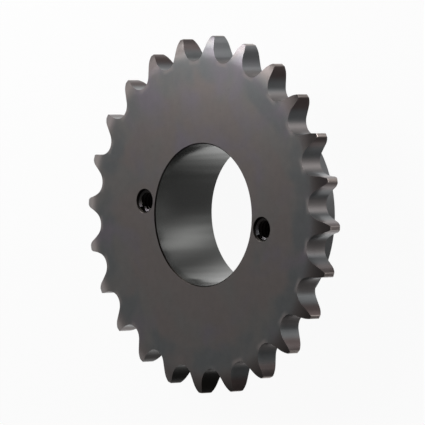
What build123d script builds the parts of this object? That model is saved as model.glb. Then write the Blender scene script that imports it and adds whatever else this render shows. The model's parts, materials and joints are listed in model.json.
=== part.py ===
from build123d import *
import math
import os

os.makedirs("parts", exist_ok=True)

# Driving dimensions: millimetres and degrees

# Roller chain that the teeth carry
pitch = 12.7
roller_diameter = 7.92

# Rim
teeth = 24
tooth_width = 7.21
side_relief = 1.7
side_relief_depth = 6.0
tip_edge_round = 0.6
tip_corner_round = 0.4

# Hub and bore
length_through_bore = 23.0
bore_diameter = 41.28
bore_chamfer_face = 0.35
bore_chamfer_hub = 0.45
hub_end_chamfer = 0.2
hub_corner_chamfer = 0.6

# Two tapped holes for the bushing screws, cut to the thread's major diameter,
# with the walls that they leave towards the bore and towards the hub's outside
screw_hole_diameter = 6.35
screw_wall_inside = 1.585
screw_wall_outside = 3.175
screw_mouth_chamfer = 0.45
screw_hole_count = 2
screw_hole_angle = -5.1

# Allowances of the tooth form, and how far the gap cutter's outline passes the blank
seat_allowance = 0.0762
form_allowance = 0.0381
cutter_overrun = 0.03
cutter_lead = 1.0

# Values that follow from the sizes above
outside_diameter = pitch * (0.6 + 1 / math.tan(math.radians(180 / teeth)))
tip_radius = outside_diameter / 2
bore_radius = bore_diameter / 2
screw_hole_radius = screw_hole_diameter / 2
screw_circle_radius = bore_radius + screw_wall_inside + screw_hole_radius
hub_radius = screw_circle_radius + screw_hole_radius + screw_wall_outside
hub_length = length_through_bore - tooth_width
relief_start = tip_radius - side_relief_depth

# Tooth form: seating arc, working arc, short straight, topping arc and tip corner
tooth_step = 360 / teeth
pitch_radius = pitch / (2 * math.sin(math.radians(tooth_step / 2)))
seat_radius = (1.005 * roller_diameter + seat_allowance) / 2
seat_angle = 35 + 60 / teeth
work_angle = 18 - 56 / teeth
work_radius = 1.3025 * roller_diameter + form_allowance
flank_angle = seat_angle - work_angle
topping_angle = 17 - 64 / teeth
topping_radius = roller_diameter * (
    0.8 * math.cos(math.radians(work_angle))
    + 1.4 * math.cos(math.radians(topping_angle))
    - 1.3025
) - form_allowance
work_reach = 0.8 * roller_diameter
topping_reach = 1.4 * roller_diameter

# Arc centres, with the gap's middle line along X
seat_centre = Vector(pitch_radius, 0)
work_centre = seat_centre + Vector(
    work_reach * math.sin(math.radians(seat_angle)),
    -work_reach * math.cos(math.radians(seat_angle)),
)
topping_centre = seat_centre + Vector(
    -topping_reach * math.sin(math.radians(tooth_step / 2)),
    topping_reach * math.cos(math.radians(tooth_step / 2)),
)

# Arc that rounds a tip's corner: it touches the topping arc and just passes the outside of the blank
overrun_radius = tip_radius + cutter_overrun
corner_reach = overrun_radius - tip_corner_round
corner_bearing = math.degrees(
    math.atan2(topping_centre.Y, topping_centre.X)
    - math.acos(
        (corner_reach**2 + topping_centre.length**2 - (topping_radius - tip_corner_round) ** 2)
        / (2 * corner_reach * topping_centre.length)
    )
)
corner_centre = Vector(corner_reach, 0).rotate(Axis.Z, corner_bearing)
topping_start = flank_angle - 90
topping_end = math.degrees(
    math.atan2(corner_centre.Y - topping_centre.Y, corner_centre.X - topping_centre.X)
)

# One gap between two teeth
with BuildSketch() as gap:
    with BuildLine():
        seat = CenterArc(seat_centre, seat_radius, 180, seat_angle - 90)
        work = CenterArc(work_centre, work_radius, 90 + seat_angle, -work_angle)
        topping = CenterArc(
            topping_centre, topping_radius, topping_start, topping_end - topping_start
        )
        corner = CenterArc(
            corner_centre, tip_corner_round, topping_end, corner_bearing - topping_end
        )
        Line(work @ 1, topping @ 0)
        side = Line(corner @ 1, (overrun_radius + cutter_lead, (corner @ 1).Y))
        Line(side @ 1, (overrun_radius + cutter_lead, 0))
        mirror(about=Plane.XZ)
    make_face()

# Sprocket: toothed plate and hub turned from one blank
with BuildPart() as sprocket:
    with BuildSketch(Plane.XZ) as section:
        with BuildLine():
            back = TangentArc(
                (relief_start, hub_length),
                (tip_radius, hub_length + side_relief),
                tangent=(1, 0),
            )
            front = TangentArc(
                (relief_start, length_through_bore),
                (tip_radius, length_through_bore - side_relief),
                tangent=(1, 0),
            )
            Line(back @ 1, front @ 1)
            Polyline(
                front @ 0,
                (bore_radius + bore_chamfer_face, length_through_bore),
                (bore_radius, length_through_bore - bore_chamfer_face),
                (bore_radius, bore_chamfer_hub),
                (bore_radius + bore_chamfer_hub, 0),
                (hub_radius - hub_end_chamfer, 0),
                (hub_radius, hub_end_chamfer),
                (hub_radius, hub_length),
                back @ 0,
            )
        make_face()
        fillet(section.vertices().group_by(Axis.X)[-1], radius=tip_edge_round)
        chamfer(
            section.vertices().sort_by_distance((hub_radius, hub_length))[0],
            length=hub_corner_chamfer,
        )
    revolve(axis=Axis.Z)

    # Gaps between the teeth, with a tooth centred on X
    with BuildSketch(Plane.XY.offset(hub_length)):
        with PolarLocations(0, teeth, start_angle=tooth_step / 2):
            add(gap.sketch)
    extrude(amount=tooth_width, mode=Mode.SUBTRACT)

    # Screw holes right through the hub, with broken edges at both mouths
    with Locations(Plane.XY.offset(length_through_bore)):
        with PolarLocations(screw_circle_radius, screw_hole_count, start_angle=screw_hole_angle):
            Hole(radius=screw_hole_radius)
    mouths = sprocket.edges(Select.LAST).filter_by(GeomType.CIRCLE)
    chamfer(mouths, length=screw_mouth_chamfer)

sprocket.part.label = "sprocket"
export_step(sprocket.part, "parts/sprocket.step")

box = sprocket.part.bounding_box()
print("size", round(box.size.X, 3), round(box.size.Y, 3), round(box.size.Z, 3))
print("volume", round(sprocket.part.volume, 1), "solids", len(sprocket.part.solids()))
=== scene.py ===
import json
import math

import bmesh
import bpy
from mathutils import Matrix, Vector


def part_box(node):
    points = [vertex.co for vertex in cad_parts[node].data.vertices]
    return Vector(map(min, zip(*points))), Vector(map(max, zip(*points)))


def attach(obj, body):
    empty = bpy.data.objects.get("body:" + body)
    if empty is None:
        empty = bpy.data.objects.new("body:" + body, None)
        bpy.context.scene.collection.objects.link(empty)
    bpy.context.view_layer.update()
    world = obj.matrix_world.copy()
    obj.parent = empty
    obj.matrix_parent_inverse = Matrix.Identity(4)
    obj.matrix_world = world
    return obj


bl_info = {
    "name": "Chain Sprocket",
    "version": (1, 0, 0),
    "blender": (4, 5, 0),
    "location": "View3D > Sidebar > Sprocket",
    "description": "Black-oxide finish, screw threads and studio for a roller-chain sprocket",
    "category": "Object",
}

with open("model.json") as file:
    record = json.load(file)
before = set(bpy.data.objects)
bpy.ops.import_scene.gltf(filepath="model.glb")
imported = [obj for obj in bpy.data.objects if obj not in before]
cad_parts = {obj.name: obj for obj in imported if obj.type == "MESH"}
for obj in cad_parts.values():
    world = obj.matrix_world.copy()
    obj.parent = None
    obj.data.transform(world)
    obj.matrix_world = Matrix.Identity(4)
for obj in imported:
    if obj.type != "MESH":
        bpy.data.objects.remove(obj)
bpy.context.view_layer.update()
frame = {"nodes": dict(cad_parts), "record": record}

NODE = "sprocket"
BODY = "root"
MM = 0.001

# Where the blank's zones lie, in metres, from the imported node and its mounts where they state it
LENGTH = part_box(NODE)[1].z
TIP_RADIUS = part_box(NODE)[1].x
MOUNTS = {mount["name"]: mount for mount in frame["record"]["mounts"]}
BORE_RADIUS = MOUNTS["bore"]["dims"]["r_mm"] * MM
SCREW_RADIUS = MOUNTS["bushing_screws"]["dims"]["hole_r_mm"] * MM
SCREW_CIRCLE_RADIUS = MOUNTS["bushing_screws"]["dims"]["pcd_mm"] * MM / 2
SCREW_MOUTH = 0.45 * MM
SCREW_ANGLE = math.radians(-5.1)
TEETH = 24
ROOT_RADIUS = 44.6 * MM
RELIEF_START = TIP_RADIUS - 6.0 * MM
RELIEF_RADIUS = 11.44 * MM
RELIEF_BLEND = 2.4 * MM

# Bearings of the painted light, where the top flanks are left unstained and lighter, and of the
# painted shade, where the low flanks are near-black
PAINTED_LIGHT_BEARING = math.radians(83)
PAINTED_SHADE_BEARING = math.radians(-101)

# Arcs of one gap between two teeth, with the gap's middle line along X, in metres
PITCH = 12.7 * MM
ROLLER = 7.92 * MM
HALF_STEP = math.pi / TEETH
SEAT_ANGLE = math.radians(35 + 60 / TEETH)
FLANK_ANGLE = math.radians(17 + 116 / TEETH)
SEAT_NORMAL = Vector((math.sin(SEAT_ANGLE), -math.cos(SEAT_ANGLE), 0))
FLANK_NORMAL = Vector((math.sin(FLANK_ANGLE), -math.cos(FLANK_ANGLE), 0))
STEP_NORMAL = Vector((math.sin(HALF_STEP), -math.cos(HALF_STEP), 0))
SEAT_CENTRE = Vector((PITCH / (2 * math.sin(HALF_STEP)), 0, 0))
WORK_RADIUS = 1.3025 * ROLLER + 0.0381 * MM
WORK_CENTRE = SEAT_CENTRE + 0.8 * ROLLER * SEAT_NORMAL
WORK_START = WORK_CENTRE - WORK_RADIUS * SEAT_NORMAL
WORK_END = WORK_CENTRE - WORK_RADIUS * FLANK_NORMAL
TOPPING_CENTRE = SEAT_CENTRE - 1.4 * ROLLER * STEP_NORMAL
TOPPING_RADIUS = (TOPPING_CENTRE - WORK_END).dot(-FLANK_NORMAL)
TOPPING_START = TOPPING_CENTRE + TOPPING_RADIUS * FLANK_NORMAL


class SprocketFinishSettings(bpy.types.PropertyGroup):
    """Colours and surface of the black oxide, with its painted shade and painted highlight"""

    oxide_color: bpy.props.FloatVectorProperty(
        name="Oxide", description="Main colour of the oxide", subtype="COLOR",
        default=(0.188, 0.180, 0.174), min=0, max=1,
    )
    cool_color: bpy.props.FloatVectorProperty(
        name="Cool Cloud", description="Blue-grey bloom in the oxide", subtype="COLOR",
        default=(0.152, 0.158, 0.161), min=0, max=1,
    )
    warm_color: bpy.props.FloatVectorProperty(
        name="Warm Cloud", description="Purple-brown bloom in the oxide", subtype="COLOR",
        default=(0.198, 0.175, 0.168), min=0, max=1,
    )
    bloom_color: bpy.props.FloatVectorProperty(
        name="Violet Bloom", description="Violet temper colour in the oxide", subtype="COLOR",
        default=(0.190, 0.172, 0.194), min=0, max=1,
    )
    wall_color: bpy.props.FloatVectorProperty(
        name="Flanks and Hub", description="Blue-grey oxide on the tooth flanks and the hub",
        subtype="COLOR", default=(0.172, 0.179, 0.183), min=0, max=1,
    )
    bore_color: bpy.props.FloatVectorProperty(
        name="Bore", description="Neutral oxide on the bored wall", subtype="COLOR",
        default=(0.179, 0.181, 0.176), min=0, max=1,
    )
    # Near-black used as painted shade in the screw holes, at the bore's mouth and on the low
    # flanks, and for the dark grain and specks
    shade_and_speck_color: bpy.props.FloatVectorProperty(
        name="Painted Shade and Specks", description="Brown-black oxide in the screw holes and on low flanks",
        subtype="COLOR", default=(0.011, 0.009, 0.007), min=0, max=1,
    )
    thread_color: bpy.props.FloatVectorProperty(
        name="Threads", description="Brown-grey oxide on the threads' crests", subtype="COLOR",
        default=(0.11, 0.10, 0.09), min=0, max=1,
    )
    relief_color: bpy.props.FloatVectorProperty(
        name="Tooth Relief", description="Browner oxide on the radiused sides of the teeth",
        subtype="COLOR", default=(0.194, 0.164, 0.156), min=0, max=1,
    )
    stain_color: bpy.props.FloatVectorProperty(
        name="Flank Stain", description="Dark red-brown oxide on the outer flanks of most teeth",
        subtype="COLOR", default=(0.110, 0.084, 0.081), min=0, max=1,
    )
    # Pale pinkish rim at the gap bottoms: partly rubbed edges, partly a painted highlight
    root_rub_and_highlight_color: bpy.props.FloatVectorProperty(
        name="Root Rub and Highlight", description="Paler, pinkish oxide that rims the bottoms of the gaps",
        subtype="COLOR", default=(0.300, 0.262, 0.252), min=0, max=1,
    )
    rubbed_color: bpy.props.FloatVectorProperty(
        name="Rubbed Steel", description="Steel that shows where edges and tip lands are rubbed",
        subtype="COLOR", default=(0.50, 0.44, 0.41), min=0, max=1,
    )
    face_roughness: bpy.props.FloatProperty(
        name="Face Roughness", description="Roughness of the turned faces",
        default=0.29, min=0, max=1,
    )
    flank_roughness: bpy.props.FloatProperty(
        name="Flank Roughness", description="Roughness of the milled tooth flanks",
        default=0.32, min=0, max=1,
    )
    bore_roughness: bpy.props.FloatProperty(
        name="Bore Roughness", description="Roughness of the bored wall",
        default=0.19, min=0, max=1,
    )
    edge_break: bpy.props.FloatProperty(
        name="Edge Break", description="Width of the tumbled edges",
        subtype="DISTANCE", unit="LENGTH", default=0.12 * MM, min=0, max=1 * MM, precision=5,
    )


class SprocketThreadSettings(bpy.types.PropertyGroup):
    """Form of the two screw threads"""

    pitch: bpy.props.FloatProperty(
        name="Pitch", description="Lead of one turn", subtype="DISTANCE", unit="LENGTH",
        default=1.27 * MM, min=0.2 * MM, max=5 * MM, precision=5,
    )
    minor_radius: bpy.props.FloatProperty(
        name="Minor Radius", description="Radius of the thread's crests",
        subtype="DISTANCE", unit="LENGTH",
        default=2.56 * MM, min=0.5 * MM, max=10 * MM, precision=5,
    )
    crest_width: bpy.props.FloatProperty(
        name="Crest Width", description="Flat on each crest", subtype="DISTANCE", unit="LENGTH",
        default=0.30 * MM, min=0.01 * MM, max=2 * MM, precision=5,
    )
    steps_per_turn: bpy.props.IntProperty(
        name="Steps per Turn", description="Segments in one turn", default=40, min=8, max=96,
    )


class SprocketStageSettings(bpy.types.PropertyGroup):
    """Studio and camera"""

    paper_color: bpy.props.FloatVectorProperty(
        name="Paper", description="Colour of the floor paper", subtype="COLOR",
        default=(0.85, 0.85, 0.85), min=0, max=1,
    )
    ambient: bpy.props.FloatProperty(
        name="Ambient", description="Light of the dark part of the studio",
        default=0.025, min=0, max=1,
    )
    aim: bpy.props.FloatVectorProperty(
        name="Aim", description="Point that the camera looks at",
        subtype="TRANSLATION", unit="LENGTH",
        default=(4.283 * MM, 1.025 * MM, 23.0 * MM), precision=5,
    )
    distance: bpy.props.FloatProperty(
        name="Distance", description="From the aim point to the camera",
        subtype="DISTANCE", unit="LENGTH", default=1.62023, min=0.1, max=10,
    )
    azimuth: bpy.props.FloatProperty(
        name="Azimuth", description="Turn of the camera from +X", subtype="ANGLE",
        default=math.radians(5.169),
    )
    elevation: bpy.props.FloatProperty(
        name="Elevation", description="Height of the camera over the floor", subtype="ANGLE",
        default=math.radians(42.522),
    )
    roll: bpy.props.FloatProperty(
        name="Roll", description="Turn of the picture about the line of sight", subtype="ANGLE",
        default=math.radians(-91.432),
    )
    lens: bpy.props.FloatProperty(
        name="Lens", description="Focal length in millimetres for a 36 mm sensor",
        default=474.04, min=10, max=1000,
    )


def add_node(tree, kind, **values):
    """A shader node with its settings and its unlinked inputs given by name"""
    node = tree.nodes.new(kind)
    for name, value in values.items():
        if hasattr(node, name):
            setattr(node, name, value)
        else:
            node.inputs[name.replace("_", " ")].default_value = value
    return node


def connect(tree, value, socket):
    """Links an input to a socket or sets it to a plain value, and leaves it alone for None"""
    if isinstance(value, bpy.types.NodeSocket):
        tree.links.new(value, socket)
    elif value is not None:
        socket.default_value = value


def maths(tree, operation, a, b=None, c=None, clamp=False):
    """Output of a Math node whose inputs are sockets or numbers"""
    node = add_node(tree, "ShaderNodeMath", operation=operation, use_clamp=clamp)
    for socket, value in zip(node.inputs, (a, b, c)):
        connect(tree, value, socket)
    return node.outputs[0]


def vectors(tree, operation, a, b=None):
    """Output of a Vector Math node whose inputs are sockets or vectors, or a number for a scale"""
    node = add_node(tree, "ShaderNodeVectorMath", operation=operation)
    connect(tree, a, node.inputs[0])
    connect(tree, b, node.inputs["Scale"] if operation == "SCALE" else node.inputs[1])
    return node.outputs["Value" if operation in ("LENGTH", "DOT_PRODUCT") else "Vector"]


def split_vector(tree, vector):
    """The X, Y and Z of a vector, by name"""
    node = tree.nodes.new("ShaderNodeSeparateXYZ")
    tree.links.new(vector, node.inputs[0])
    return node.outputs


def join_vector(tree, x=None, y=None, z=None):
    """A vector from its X, Y and Z, where one that isn't given is 0"""
    node = tree.nodes.new("ShaderNodeCombineXYZ")
    for socket, value in zip(node.inputs, (x, y, z)):
        connect(tree, value, socket)
    return node.outputs[0]


def mix_vector(tree, factor, a, b):
    """Mix of two vectors, each a socket or a vector"""
    node = add_node(tree, "ShaderNodeMix", data_type="VECTOR")
    connect(tree, factor, node.inputs["Factor"])
    ends = [socket for socket in node.inputs if socket.type == "VECTOR"][-2:]
    for socket, value in zip(ends, (a, b)):
        connect(tree, value, socket)
    return [socket for socket in node.outputs if socket.type == "VECTOR"][0]


def ramp(tree, value, low, high, start=0.0, end=1.0):
    """Smooth step of a value between two limits"""
    node = add_node(
        tree, "ShaderNodeMapRange", interpolation_type="SMOOTHSTEP",
        From_Min=low, From_Max=high, To_Min=start, To_Max=end,
    )
    tree.links.new(value, node.inputs["Value"])
    return node.outputs["Result"]


def mix_color(tree, factor, a, b, blend="MIX"):
    """Mix of two colours, each a socket or a colour of three values"""
    node = add_node(tree, "ShaderNodeMix", data_type="RGBA", blend_type=blend)
    connect(tree, factor, node.inputs["Factor"])
    ends = [socket for socket in node.inputs if socket.type == "RGBA"]
    for socket, value in zip(ends, (a, b)):
        if not isinstance(value, bpy.types.NodeSocket):
            value = (*value, 1.0)
        connect(tree, value, socket)
    return [socket for socket in node.outputs if socket.type == "RGBA"][0]


def new_group(name, inputs, outputs):
    """An empty shader group with named sockets: its tree, its inputs and its outputs by name"""
    tree = bpy.data.node_groups.new(name, "ShaderNodeTree")
    for label, kind, default in inputs:
        socket = tree.interface.new_socket(name=label, in_out="INPUT", socket_type=kind)
        if default is not None:
            socket.default_value = default
    for label, kind in outputs:
        tree.interface.new_socket(name=label, in_out="OUTPUT", socket_type=kind)
    source = tree.nodes.new("NodeGroupInput")
    sink = tree.nodes.new("NodeGroupOutput")
    return tree, source.outputs, sink.inputs


def place_group(tree, group, **values):
    """Outputs of a group placed in a tree, with its inputs given by name"""
    node = add_node(tree, "ShaderNodeGroup", node_tree=group)
    for name, value in values.items():
        connect(tree, value, node.inputs[name.replace("_", " ")])
    return node.outputs


def build_oxide_clouds():
    """Soft blooms of cooler, warmer and violet oxide, with a fine mottle"""
    tree, source, sink = new_group(
        "Oxide Clouds",
        [
            ("Vector", "NodeSocketVector", None),
            ("Base", "NodeSocketColor", (0.1, 0.1, 0.1, 1)),
            ("Cool", "NodeSocketColor", (0.1, 0.1, 0.1, 1)),
            ("Warm", "NodeSocketColor", (0.1, 0.1, 0.1, 1)),
            ("Bloom", "NodeSocketColor", (0.1, 0.1, 0.1, 1)),
            ("Cloud Scale", "NodeSocketFloat", 40.0),
            ("Coolness", "NodeSocketFloat", 0.0),
            ("Bloom Lean", "NodeSocketFloat", 0.0),
            ("Mottle", "NodeSocketFloat", 0.1),
        ],
        [("Color", "NodeSocketColor"), ("Shade", "NodeSocketFloat")],
    )
    clouds = add_node(tree, "ShaderNodeTexNoise", Detail=2.5, Roughness=0.5, Distortion=0.3)
    tree.links.new(source["Vector"], clouds.inputs["Vector"])
    tree.links.new(source["Cloud Scale"], clouds.inputs["Scale"])
    fields = tree.nodes.new("ShaderNodeSeparateColor")
    tree.links.new(clouds.outputs["Color"], fields.inputs["Color"])
    mottle = add_node(tree, "ShaderNodeTexNoise", Detail=2.0, Roughness=0.5)
    tree.links.new(source["Vector"], mottle.inputs["Vector"])
    tree.links.new(maths(tree, "MULTIPLY", source["Cloud Scale"], 6.0), mottle.inputs["Scale"])
    cool_field = maths(tree, "ADD", fields.outputs[0], source["Coolness"])
    warm_field = maths(tree, "SUBTRACT", fields.outputs[1], source["Coolness"])
    bloom_field = maths(tree, "ADD", fields.outputs[2], source["Bloom Lean"])
    color = mix_color(tree, ramp(tree, cool_field, 0.42, 0.66), source["Base"], source["Cool"])
    color = mix_color(tree, ramp(tree, warm_field, 0.42, 0.66), color, source["Warm"])
    color = mix_color(tree, ramp(tree, bloom_field, 0.50, 0.74), color, source["Bloom"])
    shade = maths(tree, "SUBTRACT", mottle.outputs["Fac"], 0.5)
    gain = maths(tree, "MULTIPLY_ADD", shade, source["Mottle"], 1.0)
    grey = tree.nodes.new("ShaderNodeCombineColor")
    for socket in grey.inputs:
        tree.links.new(gain, socket)
    color = mix_color(tree, 1.0, color, grey.outputs["Color"], "MULTIPLY")
    tree.links.new(color, sink["Color"])
    tree.links.new(shade, sink["Shade"])
    return tree


def build_tool_marks():
    """Lines that a cutting tool leaves, which drift slowly along their length"""
    tree, source, sink = new_group(
        "Tool Marks",
        [
            ("Across", "NodeSocketFloat", 0.0),
            ("Along", "NodeSocketVector", None),
            ("Lines per Metre", "NodeSocketFloat", 3000.0),
            ("Drift", "NodeSocketFloat", 12.0),
        ],
        [("Height", "NodeSocketFloat")],
    )
    along = split_vector(tree, vectors(tree, "SCALE", source["Along"], source["Drift"]))
    across = maths(tree, "MULTIPLY", source["Across"], source["Lines per Metre"])
    lines = add_node(tree, "ShaderNodeTexNoise", Scale=1.0, Detail=2.5, Roughness=0.7)
    tree.links.new(join_vector(tree, across, along["X"], along["Y"]), lines.inputs["Vector"])
    tree.links.new(maths(tree, "SUBTRACT", lines.outputs["Fac"], 0.5), sink["Height"])
    return tree


def build_fine_grain():
    """Fine matt grain of the oxide crystals and the odd dark speck"""
    tree, source, sink = new_group(
        "Fine Grain",
        [("Vector", "NodeSocketVector", None), ("Grain Scale", "NodeSocketFloat", 2600.0)],
        [("Height", "NodeSocketFloat"), ("Specks", "NodeSocketFloat")],
    )
    grain = add_node(tree, "ShaderNodeTexNoise", Detail=3.0, Roughness=0.7)
    tree.links.new(source["Vector"], grain.inputs["Vector"])
    tree.links.new(source["Grain Scale"], grain.inputs["Scale"])
    cells = add_node(tree, "ShaderNodeTexVoronoi")
    tree.links.new(source["Vector"], cells.inputs["Vector"])
    tree.links.new(maths(tree, "MULTIPLY", source["Grain Scale"], 0.12), cells.inputs["Scale"])
    pick = tree.nodes.new("ShaderNodeSeparateColor")
    tree.links.new(cells.outputs["Color"], pick.inputs["Color"])
    chosen = maths(tree, "GREATER_THAN", pick.outputs[0], 0.86)
    near = ramp(tree, cells.outputs["Distance"], 0.05, 0.20, 1.0, 0.0)
    tree.links.new(maths(tree, "SUBTRACT", grain.outputs["Fac"], 0.5), sink["Height"])
    tree.links.new(maths(tree, "MULTIPLY", chosen, near), sink["Specks"])
    return tree


def build_edge_rub():
    """Where edges are rubbed, broken up along their length"""
    tree, source, sink = new_group(
        "Edge Rub",
        [
            ("Vector", "NodeSocketVector", None),
            ("Reach", "NodeSocketFloat", 0.3 * MM),
            ("Breakup Scale", "NodeSocketFloat", 350.0),
        ],
        [("Rub", "NodeSocketFloat")],
    )
    rounded = add_node(tree, "ShaderNodeBevel", samples=6)
    tree.links.new(source["Reach"], rounded.inputs["Radius"])
    true = tree.nodes.new("ShaderNodeNewGeometry").outputs["Normal"]
    likeness = vectors(tree, "DOT_PRODUCT", rounded.outputs["Normal"], true)
    edge = ramp(tree, likeness, 0.80, 0.985, 1.0, 0.0)
    broken = add_node(tree, "ShaderNodeTexNoise", Detail=3.0, Roughness=0.6)
    tree.links.new(source["Vector"], broken.inputs["Vector"])
    tree.links.new(source["Breakup Scale"], broken.inputs["Scale"])
    gate = ramp(tree, broken.outputs["Fac"], 0.38, 0.62)
    tree.links.new(maths(tree, "MULTIPLY", edge, gate), sink["Rub"])
    return tree


def effect(name, build):
    """The shared group of that name, built the first time that it is asked for"""
    return bpy.data.node_groups.get(name) or build()


def new_material(name):
    """A material with its tree, its output node and its texture coordinates"""
    material = bpy.data.materials.new(name)
    material.use_nodes = True
    tree = material.node_tree
    tree.nodes.clear()
    output = tree.nodes.new("ShaderNodeOutputMaterial")
    coordinates = tree.nodes.new("ShaderNodeTexCoord")
    return material, tree, output, coordinates.outputs


def screw_distance(tree, place):
    """Distance from the nearer screw hole's axis"""
    turned = add_node(tree, "ShaderNodeVectorRotate", rotation_type="Z_AXIS", Angle=-SCREW_ANGLE)
    tree.links.new(place, turned.inputs["Vector"])
    split = split_vector(tree, turned.outputs[0])
    out = maths(tree, "SUBTRACT", maths(tree, "ABSOLUTE", split["X"]), SCREW_CIRCLE_RADIUS)
    square = maths(tree, "MULTIPLY_ADD", out, out, maths(tree, "POWER", split["Y"], 2.0))
    return maths(tree, "SQRT", square)


def outside(tree, mask):
    """The rest of the surface: 1 less the mask"""
    return maths(tree, "SUBTRACT", 1.0, mask)


def overlap(tree, first, *others):
    """Where all the masks are: their product"""
    for mask in others:
        first = maths(tree, "MULTIPLY", first, mask)
    return first


def near_bearing(tree, bearing, centre, low, high):
    """Mask round a bearing from +X, with its limits given as cosines"""
    return ramp(tree, maths(tree, "COSINE", maths(tree, "SUBTRACT", bearing, centre)), low, high)


def heading(tree, start, end):
    """Unit vector from one point to another"""
    return vectors(tree, "NORMALIZE", vectors(tree, "SUBTRACT", end, start))


def build_tooth_normal():
    """Exact normal of the teeth's flanks and sides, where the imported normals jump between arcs"""
    tree, source, sink = new_group(
        "Tooth Normal",
        [("Vector", "NodeSocketVector", None), ("Normal", "NodeSocketVector", None)],
        [("Normal", "NodeSocketVector")],
    )
    across = vectors(tree, "MULTIPLY", source["Vector"], (1, 1, 0))
    radius = vectors(tree, "LENGTH", across)
    split = split_vector(tree, across)

    # Radiused sides of the teeth, run softly into the level faces
    past = maths(tree, "SUBTRACT", radius, RELIEF_START)
    soft = maths(tree, "SMOOTH_MAX", past, 0.0, RELIEF_BLEND)
    lean = maths(tree, "DIVIDE", soft, RELIEF_RADIUS)
    rise = maths(tree, "SQRT", maths(tree, "SUBTRACT", 1.0, maths(tree, "POWER", lean, 2.0)))
    up_or_down = maths(tree, "SIGN", split_vector(tree, source["Normal"])["Z"])
    upright = join_vector(tree, z=maths(tree, "MULTIPLY", rise, up_or_down))
    tilted = vectors(tree, "SCALE", vectors(tree, "NORMALIZE", across), lean)
    side = vectors(tree, "ADD", tilted, upright)

    # Flanks, worked out in the upper half of one gap and turned back to their own
    bearing = maths(tree, "ARCTAN2", split["Y"], split["X"])
    from_gap = maths(tree, "SUBTRACT", bearing, HALF_STEP)
    folded = maths(tree, "WRAP", from_gap, HALF_STEP, -HALF_STEP)
    upper = maths(tree, "ABSOLUTE", folded)
    place = join_vector(
        tree,
        maths(tree, "MULTIPLY", radius, maths(tree, "COSINE", upper)),
        maths(tree, "MULTIPLY", radius, maths(tree, "SINE", upper)),
    )
    flank = heading(tree, place, SEAT_CENTRE)
    for start, normal in (
        (WORK_START, heading(tree, place, WORK_CENTRE)),
        (WORK_END, FLANK_NORMAL),
        (TOPPING_START, heading(tree, TOPPING_CENTRE, place)),
    ):
        reached = maths(tree, "GREATER_THAN", radius, start.length)
        flank = mix_vector(tree, reached, flank, normal)
    half = split_vector(tree, flank)
    mirrored = maths(tree, "MULTIPLY", half["Y"], maths(tree, "SIGN", folded))
    turned = add_node(tree, "ShaderNodeVectorRotate", rotation_type="Z_AXIS")
    tree.links.new(join_vector(tree, half["X"], mirrored), turned.inputs["Vector"])
    tree.links.new(maths(tree, "SUBTRACT", bearing, folded), turned.inputs["Angle"])
    flank = turned.outputs[0]

    # Each is used only where the surface faces that way already
    stated = source["Normal"]
    near_side = ramp(tree, vectors(tree, "DOT_PRODUCT", side, stated), 0.900, 0.950)
    near_flank = ramp(tree, vectors(tree, "DOT_PRODUCT", flank, stated), 0.800, 0.900)
    toothed = maths(tree, "GREATER_THAN", radius, ROOT_RADIUS - 0.3 * MM)
    normal = mix_vector(tree, near_side, stated, side)
    normal = mix_vector(tree, overlap(tree, near_flank, toothed), normal, flank)
    world = add_node(
        tree, "ShaderNodeVectorTransform",
        vector_type="NORMAL", convert_from="OBJECT", convert_to="WORLD",
    )
    tree.links.new(normal, world.inputs["Vector"])
    tree.links.new(world.outputs["Vector"], sink["Normal"])
    return tree


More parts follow.
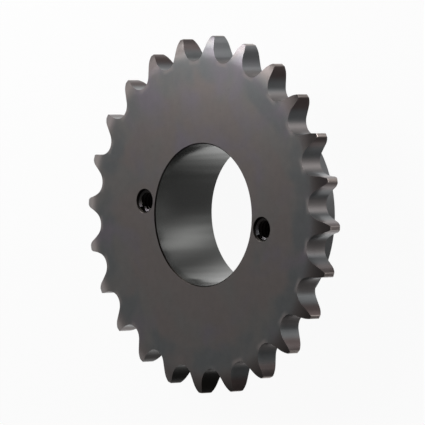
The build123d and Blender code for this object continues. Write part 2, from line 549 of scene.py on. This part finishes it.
def blank_zones(tree, place, normal):
    """Masks of the blank's zones by name, then the X, Y and Z, and the radius, of each point"""
    split = split_vector(tree, place)
    radius = vectors(tree, "LENGTH", vectors(tree, "MULTIPLY", place, (1, 1, 0)))
    bearing = maths(tree, "ARCTAN2", split["Y"], split["X"])
    flatness = maths(tree, "ABSOLUTE", split_vector(tree, normal)["Z"])

    # Upright walls and level sides
    walls = ramp(tree, flatness, 0.35, 0.60, 1.0, 0.0)
    sides = outside(tree, walls)
    bore = overlap(
        tree, walls, ramp(tree, radius, BORE_RADIUS + 0.1 * MM, BORE_RADIUS + 0.4 * MM, 1.0, 0.0),
    )
    flank = overlap(
        tree, walls, ramp(tree, radius, ROOT_RADIUS - 0.6 * MM, ROOT_RADIUS - 0.2 * MM),
    )
    land = overlap(
        tree, flank, ramp(tree, radius, TIP_RADIUS - 0.35 * MM, TIP_RADIUS - 0.05 * MM),
    )
    relief = overlap(
        tree, sides, ramp(tree, radius, ROOT_RADIUS - 0.3 * MM, TIP_RADIUS - 3.0 * MM),
    )
    face = overlap(
        tree, ramp(tree, radius, BORE_RADIUS + 0.6 * MM, BORE_RADIUS + 0.8 * MM),
        ramp(tree, radius, ROOT_RADIUS - 1.6 * MM, ROOT_RADIUS - 1.2 * MM, 1.0, 0.0),
    )

    # Screw holes with their countersinks, and the bore's broken edge, painted near-black as painted
    # shade, strongest at the bottom
    hole_edge = SCREW_RADIUS + SCREW_MOUTH
    hole = ramp(
        tree, screw_distance(tree, place), hole_edge - 0.15 * MM, hole_edge + 0.05 * MM, 1.0, 0.0,
    )
    mouth = overlap(
        tree, ramp(tree, radius, BORE_RADIUS + 0.30 * MM, BORE_RADIUS + 0.45 * MM, 1.0, 0.0),
        ramp(tree, flatness, 0.20, 0.45), ramp(tree, flatness, 0.88, 0.99, 1.0, 0.0),
        ramp(tree, split["Y"], 0.0, 12.0 * MM, 1.0, 0.4),
    )

    # Top flanks left unstained as painted light, stain in patches elsewhere, and painted shade on
    # the low flanks
    lit_top = near_bearing(tree, bearing, PAINTED_LIGHT_BEARING, 0.930, 0.975)
    painted_bottom_shade = near_bearing(tree, bearing, PAINTED_SHADE_BEARING, 0.85, 0.985)
    patches = add_node(tree, "ShaderNodeTexNoise", Scale=60.0, Detail=3.0, Roughness=0.6)
    tree.links.new(place, patches.inputs["Vector"])
    patchy = ramp(tree, patches.outputs["Fac"], 0.30, 0.55, 0.75, 1.0)
    patches_off_lit_top = overlap(tree, outside(tree, lit_top), patchy)
    # Stain on the outer flanks in patches, kept off the top flanks as painted light
    stain = overlap(tree, flank, patches_off_lit_top, ramp(tree, radius, 47.0 * MM, 49.5 * MM))

    # Pale rim round the bottom of each gap, partly rubbed edges and partly a painted highlight,
    # kept off the painted shade at the bottom
    wave = maths(tree, "COSINE", maths(tree, "MULTIPLY", bearing, TEETH))
    root_rub_and_highlight = overlap(
        tree, ramp(tree, wave, -1.0, 0.1, 1.0, 0.0),
        ramp(tree, radius, ROOT_RADIUS - 1.3 * MM, ROOT_RADIUS - 0.2 * MM),
        ramp(tree, radius, ROOT_RADIUS + 0.4 * MM, ROOT_RADIUS + 1.8 * MM, 1.0, 0.0),
        outside(tree, painted_bottom_shade),
    )
    zones = {
        "walls": walls, "sides": sides, "bore": bore, "flank": flank, "land": land,
        "relief": relief, "face": face, "dark": maths(tree, "MAXIMUM", hole, mouth), "hole": hole,
        "patches_off_lit_top": patches_off_lit_top, "painted_bottom_shade": overlap(tree, flank, painted_bottom_shade), "stain": stain, "root_rub_and_highlight": root_rub_and_highlight,
    }
    return zones, split, radius


def blank_color(tree, finish, clouds, grain, rub, zones):
    """Colour of the blank: its clouds, with each zone's tint laid over them in turn, some of them
    painted shade and painted highlight
    """
    # Browner tooth sides in patches, kept off the top teeth as painted light
    browned = maths(tree, "MULTIPLY", overlap(tree, zones["relief"], zones["patches_off_lit_top"]), 0.85)
    specks = maths(tree, "MULTIPLY", grain["Specks"], 0.08)
    color = clouds
    for amount, tint in (
        (browned, finish.relief_color),
        (maths(tree, "MULTIPLY", zones["walls"], 0.8), finish.wall_color),
        (zones["stain"], finish.stain_color),
        # Painted shade: the low flanks near-black
        (zones["painted_bottom_shade"], finish.shade_and_speck_color),
        # Rubbed edges and painted highlight round the gap bottoms
        (maths(tree, "MULTIPLY", zones["root_rub_and_highlight"], 0.55), finish.root_rub_and_highlight_color),
        (zones["bore"], finish.bore_color),
        (maths(tree, "MULTIPLY_ADD", grain["Height"], 0.45, specks), finish.shade_and_speck_color),
        (maths(tree, "MULTIPLY", rub, 0.06), finish.rubbed_color),
        (maths(tree, "MULTIPLY", zones["land"], 0.50), finish.rubbed_color),
        # Painted shade: the screw holes and the bore's mouth near-black
        (zones["dark"], finish.shade_and_speck_color),
    ):
        color = mix_color(tree, amount, color, tint)
    return color


def oxide_blank_material(finish):
    """Black oxide over a turned, bored and milled steel blank"""
    material, tree, output, coordinates = new_material("Black Oxide Blank")
    place = coordinates["Object"]
    zones, split, radius = blank_zones(tree, place, coordinates["Normal"])

    # Colour, whose clouds run cooler outwards and sideways, and more violet upwards
    inner = ramp(tree, radius, 35.0 * MM, 42.0 * MM, 1.0, 0.0)
    sideways = maths(tree, "POWER", maths(tree, "DIVIDE", split["X"], TIP_RADIUS), 2.0)
    outwards = maths(tree, "MULTIPLY_ADD", inner, -0.21, 0.09)
    clouds = place_group(
        tree, effect("Oxide Clouds", build_oxide_clouds), Vector=place,
        Base=(*finish.oxide_color, 1), Cool=(*finish.cool_color, 1),
        Warm=(*finish.warm_color, 1), Bloom=(*finish.bloom_color, 1),
        Cloud_Scale=75.0, Coolness=maths(tree, "MULTIPLY_ADD", sideways, 0.08, outwards),
        Bloom_Lean=maths(tree, "MULTIPLY", split["Y"], 0.10 / TIP_RADIUS), Mottle=0.14,
    )
    grain = place_group(
        tree, effect("Fine Grain", build_fine_grain), Vector=place, Grain_Scale=2600.0,
    )
    rub = place_group(
        tree, effect("Edge Rub", build_edge_rub),
        Vector=place, Reach=0.30 * MM, Breakup_Scale=350.0,
    )["Rub"]
    rub = overlap(tree, rub, outside(tree, zones["face"]))
    color = blank_color(tree, finish, clouds["Color"], grain, rub, zones)

    # Roughness
    rough = maths(tree, "MULTIPLY_ADD", clouds["Shade"], 0.04, finish.face_roughness)
    for zone, value in (
        ("flank", finish.flank_roughness), ("bore", finish.bore_roughness), ("hole", 0.40),
    ):
        change = maths(tree, "SUBTRACT", value, rough)
        rough = maths(tree, "MULTIPLY_ADD", change, zones[zone], rough)
    rough = maths(tree, "MULTIPLY_ADD", zones["root_rub_and_highlight"], 0.12, rough)
    rough = maths(tree, "MULTIPLY_ADD", rub, 0.25, rough, clamp=True)

    # Relief of the surface: turned sides, bored walls, and grain over both
    turned = place_group(
        tree, effect("Tool Marks", build_tool_marks),
        Across=radius, Along=place, Lines_per_Metre=4200.0, Drift=30.0,
    )["Height"]
    bored = place_group(
        tree, effect("Tool Marks", build_tool_marks),
        Across=split["Z"], Along=place, Lines_per_Metre=5200.0, Drift=30.0,
    )["Height"]
    surface = overlap(tree, zones["sides"], maths(tree, "MULTIPLY", turned, 0.5))
    surface = maths(
        tree, "MULTIPLY_ADD", zones["walls"], maths(tree, "MULTIPLY", bored, 0.35), surface,
    )
    surface = maths(tree, "MULTIPLY_ADD", grain["Height"], 0.8, surface)
    bump = add_node(tree, "ShaderNodeBump", Strength=0.35, Distance=0.006 * MM)
    tree.links.new(surface, bump.inputs["Height"])
    smooth = place_group(
        tree, effect("Tooth Normal", build_tooth_normal),
        Vector=place, Normal=coordinates["Normal"],
    )["Normal"]
    tree.links.new(smooth, bump.inputs["Normal"])

    shader = add_node(tree, "ShaderNodeBsdfPrincipled", Metallic=0.85)
    tree.links.new(color, shader.inputs["Base Color"])
    tree.links.new(rough, shader.inputs["Roughness"])
    tree.links.new(bump.outputs["Normal"], shader.inputs["Normal"])
    tree.links.new(shader.outputs["BSDF"], output.inputs["Surface"])
    return material


def oxide_thread_material(finish):
    """Duller oxide on the cut threads"""
    material, tree, output, coordinates = new_material("Black Oxide Thread")
    place = coordinates["Object"]
    clouds = place_group(
        tree, effect("Oxide Clouds", build_oxide_clouds), Vector=place,
        Base=(*finish.thread_color, 1), Cool=(*finish.cool_color, 1),
        Warm=(*finish.warm_color, 1), Bloom=(*finish.bloom_color, 1),
        Cloud_Scale=160.0, Mottle=0.30,
    )
    grain = place_group(
        tree, effect("Fine Grain", build_fine_grain), Vector=place, Grain_Scale=4200.0,
    )
    rub = place_group(
        tree, effect("Edge Rub", build_edge_rub),
        Vector=place, Reach=0.10 * MM, Breakup_Scale=700.0,
    )["Rub"]
    rubbed = maths(tree, "MULTIPLY", rub, 0.35)
    color = mix_color(tree, rubbed, clouds["Color"], finish.rubbed_color)
    rough = maths(tree, "MULTIPLY_ADD", clouds["Shade"], 0.15, 0.55)
    bump = add_node(tree, "ShaderNodeBump", Strength=0.4, Distance=0.005 * MM)
    tree.links.new(grain["Height"], bump.inputs["Height"])
    shader = add_node(tree, "ShaderNodeBsdfPrincipled", Metallic=0.85)
    tree.links.new(color, shader.inputs["Base Color"])
    tree.links.new(rough, shader.inputs["Roughness"])
    tree.links.new(bump.outputs["Normal"], shader.inputs["Normal"])
    tree.links.new(shader.outputs["BSDF"], output.inputs["Surface"])
    return material


# Share of plain white in what the camera sees of the paper, which leaves the rest to its shadow
PAPER_WHITENESS = 0.94


def paper_material(stage):
    """Matt white paper, which the camera sees as nearly white, with the shadow left faint"""
    material, tree, output, coordinates = new_material("Studio Paper")
    fibre = add_node(tree, "ShaderNodeTexNoise", Scale=900.0, Detail=4.0)
    tree.links.new(coordinates["Object"], fibre.inputs["Vector"])
    bump = add_node(tree, "ShaderNodeBump", Strength=0.1, Distance=0.02 * MM)
    tree.links.new(fibre.outputs["Fac"], bump.inputs["Height"])
    paper = add_node(tree, "ShaderNodeBsdfPrincipled", Roughness=0.9)
    paper.inputs["Base Color"].default_value = (*stage.paper_color, 1)
    paper.inputs["Specular IOR Level"].default_value = 0.1
    tree.links.new(bump.outputs["Normal"], paper.inputs["Normal"])
    white = add_node(tree, "ShaderNodeEmission", Strength=1.0)
    ray = tree.nodes.new("ShaderNodeLightPath")
    mix = tree.nodes.new("ShaderNodeMixShader")
    seen = maths(tree, "MULTIPLY", ray.outputs["Is Camera Ray"], PAPER_WHITENESS)
    tree.links.new(seen, mix.inputs["Fac"])
    tree.links.new(paper.outputs["BSDF"], mix.inputs[1])
    tree.links.new(white.outputs["Emission"], mix.inputs[2])
    tree.links.new(mix.outputs["Shader"], output.inputs["Surface"])
    return material


def finish_piece(name, bm, material):
    """Turns a bmesh into a piece that rides on the sprocket"""
    mesh = bpy.data.meshes.new(name)
    bm.to_mesh(mesh)
    bm.free()
    piece = bpy.data.objects.new(name, mesh)
    bpy.context.scene.collection.objects.link(piece)
    mesh.materials.append(material)
    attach(piece, BODY)


# Half of the thread's angle, and how far the ridge's root is sunk into the hole's wall
THREAD_HALF_ANGLE = math.radians(30)
THREAD_ROOT_SUNK = 0.08 * MM


def thread_ridge(thread, centre):
    """The helical ridge of one screw hole, ending at the countersinks of its mouths"""
    depth = SCREW_RADIUS - thread.minor_radius
    base_half = depth * math.tan(THREAD_HALF_ANGLE) + thread.crest_width / 2
    start = SCREW_MOUTH + base_half
    turns = (LENGTH - 2 * start) / thread.pitch
    steps = round(turns * thread.steps_per_turn)
    bm = bmesh.new()
    outline = [
        (SCREW_RADIUS + THREAD_ROOT_SUNK, -base_half),
        (thread.minor_radius, -thread.crest_width / 2),
        (thread.minor_radius, thread.crest_width / 2),
        (SCREW_RADIUS + THREAD_ROOT_SUNK, base_half),
    ]
    corners = [bm.verts.new((centre.x + out, centre.y, start + up)) for out, up in outline]
    section = bm.faces.new(corners)
    last = bmesh.ops.spin(
        bm, geom=corners + list(section.edges), cent=centre, axis=(0, 0, 1),
        dvec=(0, 0, thread.pitch * turns / steps), angle=2 * math.pi * turns, steps=steps,
        use_merge=False, use_duplicate=False,
    )["geom_last"]
    end_edges = [item for item in last if isinstance(item, bmesh.types.BMEdge)]
    bmesh.ops.contextual_create(bm, geom=end_edges)

    # The mouths' countersinks run on through the crests
    for vert in bm.verts:
        out = Vector((vert.co.x - centre.x, vert.co.y - centre.y, 0))
        inwards = min(vert.co.z, LENGTH - vert.co.z) - SCREW_MOUTH
        least = SCREW_RADIUS - inwards
        if out.length < least:
            vert.co += out.normalized() * (least - out.length)
    bmesh.ops.recalc_face_normals(bm, faces=bm.faces)
    return bm


# Edges that turn less than this are left as they are, such as those between a curve's facets
SHARP_ANGLE = math.radians(28)
WELD_DISTANCE = 0.001 * MM


class SPROCKET_OT_finish_blank(bpy.types.Operator):
    """Breaks the blank's edges and gives it its black oxide"""

    bl_idname = "sprocket.finish_blank"
    bl_label = "Finish the Blank"

    def execute(self, context):
        finish = context.scene.sprocket_finish
        blank = frame["nodes"][NODE]
        weld = blank.modifiers.new("Weld", "WELD")
        weld.merge_threshold = WELD_DISTANCE
        broken = blank.modifiers.new("Broken Edges", "BEVEL")
        broken.limit_method = "ANGLE"
        broken.angle_limit = SHARP_ANGLE
        broken.width = finish.edge_break
        broken.segments = 2
        broken.profile = 0.5
        broken.use_clamp_overlap = True
        broken.harden_normals = True
        blank.material_slots[0].material = oxide_blank_material(finish)
        return {"FINISHED"}


class SPROCKET_OT_cut_threads(bpy.types.Operator):
    """Adds the helical thread to each screw hole"""

    bl_idname = "sprocket.cut_threads"
    bl_label = "Cut the Threads"

    def execute(self, context):
        material = oxide_thread_material(context.scene.sprocket_finish)
        for name, turn in (("screw_thread_a", 0.0), ("screw_thread_b", math.pi)):
            out = Vector((SCREW_CIRCLE_RADIUS, 0, 0))
            centre = Matrix.Rotation(SCREW_ANGLE + turn, 3, "Z") @ out
            ridge = thread_ridge(context.scene.sprocket_thread, centre)
            finish_piece(name, ridge, material)
        return {"FINISHED"}


# Studio lights: name, azimuth from +X and elevation in degrees, distance in metres,
# width and height in metres, turn about the line to the part in degrees, and radiance
SOFTBOXES = (
    ("Key Softbox", 131, 33, 0.30, (0.16, 0.10), 0, 5.8),
    ("High Softbox", 143, 47, 0.30, (0.21, 0.07), -8, 3.7),
    ("Low Strip", 94, 14, 0.30, (0.34, 0.08), 0, 4.4),
    ("Side Softbox", 41, 4, 0.90, (0.42, 0.38), 0, 13.0),
)

# Soft areas of the studio round the part: azimuth and elevation in degrees, sharpness, radiance
STUDIO_LOBES = (
    (180, -40, 5.0, 1.2),
    (44, -42, 18.0, 1.25),
    (125, -42, 14.0, 0.6),
    (-35, -45, 5.0, 0.13),
    (178, 16, 30.0, 0.92),
    (165, 25, 30.0, 0.5),
    (243, -42, 13.0, 0.62),
    (-4, -4, 20.0, 1.0),
    (185, 43, 12.0, 0.12),
    (197, 9, 60.0, 0.52),
    (225, 55, 12.0, 0.10),
)
STUDIO_CENTRE = Vector((0, 0, 15 * MM))

# The paper reaches this far each way, and lies just clear of the hub's end
PAPER_REACH = 3.0
PAPER_DROP = 0.05 * MM


def direction(azimuth, elevation):
    """Unit vector at an azimuth from +X and an elevation, both in degrees"""
    turn, rise = math.radians(azimuth), math.radians(elevation)
    level = math.cos(rise)
    return Vector((level * math.cos(turn), level * math.sin(turn), math.sin(rise)))


def add_softbox(name, offset, size, turn, radiance):
    """A rectangular studio light that faces the part and isn't seen itself"""
    data = bpy.data.lights.new(name, "AREA")
    data.shape = "RECTANGLE"
    data.size, data.size_y = size
    data.energy = math.pi * size[0] * size[1] * radiance
    light = bpy.data.objects.new(name, data)
    facing = (-offset).to_track_quat("-Z", "Y").to_matrix()
    turned = facing @ Matrix.Rotation(math.radians(turn), 3, "Z")
    light.matrix_world = Matrix.Translation(STUDIO_CENTRE + offset) @ turned.to_4x4()
    light.visible_camera = False
    bpy.context.scene.collection.objects.link(light)


def studio_world(stage):
    """Soft bright areas of a dark studio round the part, with white for the camera"""
    world = bpy.data.worlds.new("Studio")
    world.use_nodes = True
    tree = world.node_tree
    tree.nodes.clear()
    output = tree.nodes.new("ShaderNodeOutputWorld")
    view = tree.nodes.new("ShaderNodeTexCoord").outputs["Generated"]
    total = stage.ambient
    for azimuth, elevation, sharpness, radiance in STUDIO_LOBES:
        nearness = vectors(tree, "DOT_PRODUCT", view, direction(azimuth, elevation))
        away = maths(tree, "SUBTRACT", nearness, 1.0)
        lobe = maths(tree, "EXPONENT", maths(tree, "MULTIPLY", away, sharpness))
        total = maths(tree, "MULTIPLY_ADD", lobe, radiance, total)
    studio = add_node(tree, "ShaderNodeBackground", Color=(1, 1, 1, 1))
    tree.links.new(total, studio.inputs["Strength"])
    white = add_node(tree, "ShaderNodeBackground", Color=(1, 1, 1, 1), Strength=1.0)
    ray = tree.nodes.new("ShaderNodeLightPath")
    mix = tree.nodes.new("ShaderNodeMixShader")
    tree.links.new(ray.outputs["Is Camera Ray"], mix.inputs["Fac"])
    tree.links.new(studio.outputs["Background"], mix.inputs[1])
    tree.links.new(white.outputs["Background"], mix.inputs[2])
    tree.links.new(mix.outputs["Shader"], output.inputs["Surface"])
    return world


class SPROCKET_OT_set_stage(bpy.types.Operator):
    """Lays the white paper and sets the studio lights"""

    bl_idname = "sprocket.set_stage"
    bl_label = "Set the Stage"

    def execute(self, context):
        scene = context.scene
        scene.view_settings.view_transform = "Standard"
        bm = bmesh.new()
        bmesh.ops.create_grid(bm, x_segments=1, y_segments=1, size=PAPER_REACH)
        bmesh.ops.translate(bm, verts=bm.verts, vec=(0, 0, -PAPER_DROP))
        mesh = bpy.data.meshes.new("paper_floor")
        bm.to_mesh(mesh)
        bm.free()
        mesh.materials.append(paper_material(scene.sprocket_stage))
        floor = bpy.data.objects.new("paper_floor", mesh)
        scene.collection.objects.link(floor)
        floor.visible_glossy = False
        floor.visible_shadow = False
        scene.world = studio_world(scene.sprocket_stage)
        for name, azimuth, elevation, distance, size, turn, radiance in SOFTBOXES:
            add_softbox(name, direction(azimuth, elevation) * distance, size, turn, radiance)
        return {"FINISHED"}


class SPROCKET_OT_set_camera(bpy.types.Operator):
    """Puts the camera at the photograph's viewing angle"""

    bl_idname = "sprocket.set_camera"
    bl_label = "Set the Camera"

    def execute(self, context):
        stage = context.scene.sprocket_stage
        data = bpy.data.cameras.new("Camera")
        data.lens = stage.lens
        data.sensor_width = 36.0
        data.clip_start, data.clip_end = 0.05, 20.0
        camera = bpy.data.objects.new("Camera", data)
        back = direction(math.degrees(stage.azimuth), math.degrees(stage.elevation))
        level = (-back).to_track_quat("-Z", "Y").to_matrix()
        turned = level @ Matrix.Rotation(stage.roll, 3, "Z")
        place = Vector(stage.aim) + back * stage.distance
        camera.matrix_world = Matrix.Translation(place) @ turned.to_4x4()
        context.scene.collection.objects.link(camera)
        context.scene.camera = camera
        return {"FINISHED"}


STEPS = (
    SPROCKET_OT_set_camera,
    SPROCKET_OT_finish_blank,
    SPROCKET_OT_cut_threads,
    SPROCKET_OT_set_stage,
)


class SPROCKET_PT_panel(bpy.types.Panel):
    """Lists the sprocket's settings and steps"""

    bl_idname = "SPROCKET_PT_panel"
    bl_label = "Chain Sprocket"
    bl_space_type = "VIEW_3D"
    bl_region_type = "UI"
    bl_category = "Sprocket"

    def draw(self, context):
        layout = self.layout
        scene = context.scene
        for title, group in (
            ("Finish", scene.sprocket_finish),
            ("Threads", scene.sprocket_thread),
            ("Studio", scene.sprocket_stage),
        ):
            box = layout.box()
            box.label(text=title)
            for name in group.bl_rna.properties.keys():
                if name not in ("rna_type", "name"):
                    box.prop(group, name)
        for step in STEPS:
            layout.operator(step.bl_idname)


CLASSES = (
    SprocketFinishSettings,
    SprocketThreadSettings,
    SprocketStageSettings,
    *STEPS,
    SPROCKET_PT_panel,
)


def register():
    for cls in CLASSES:
        bpy.utils.register_class(cls)
    bpy.types.Scene.sprocket_finish = bpy.props.PointerProperty(type=SprocketFinishSettings)
    bpy.types.Scene.sprocket_thread = bpy.props.PointerProperty(type=SprocketThreadSettings)
    bpy.types.Scene.sprocket_stage = bpy.props.PointerProperty(type=SprocketStageSettings)


def unregister():
    del bpy.types.Scene.sprocket_stage
    del bpy.types.Scene.sprocket_thread
    del bpy.types.Scene.sprocket_finish
    for cls in reversed(CLASSES):
        bpy.utils.unregister_class(cls)


def main():
    register()
    bpy.ops.sprocket.set_camera()
    bpy.ops.sprocket.finish_blank()
    bpy.ops.sprocket.cut_threads()
    bpy.ops.sprocket.set_stage()


if __name__ == "__main__":
    main()
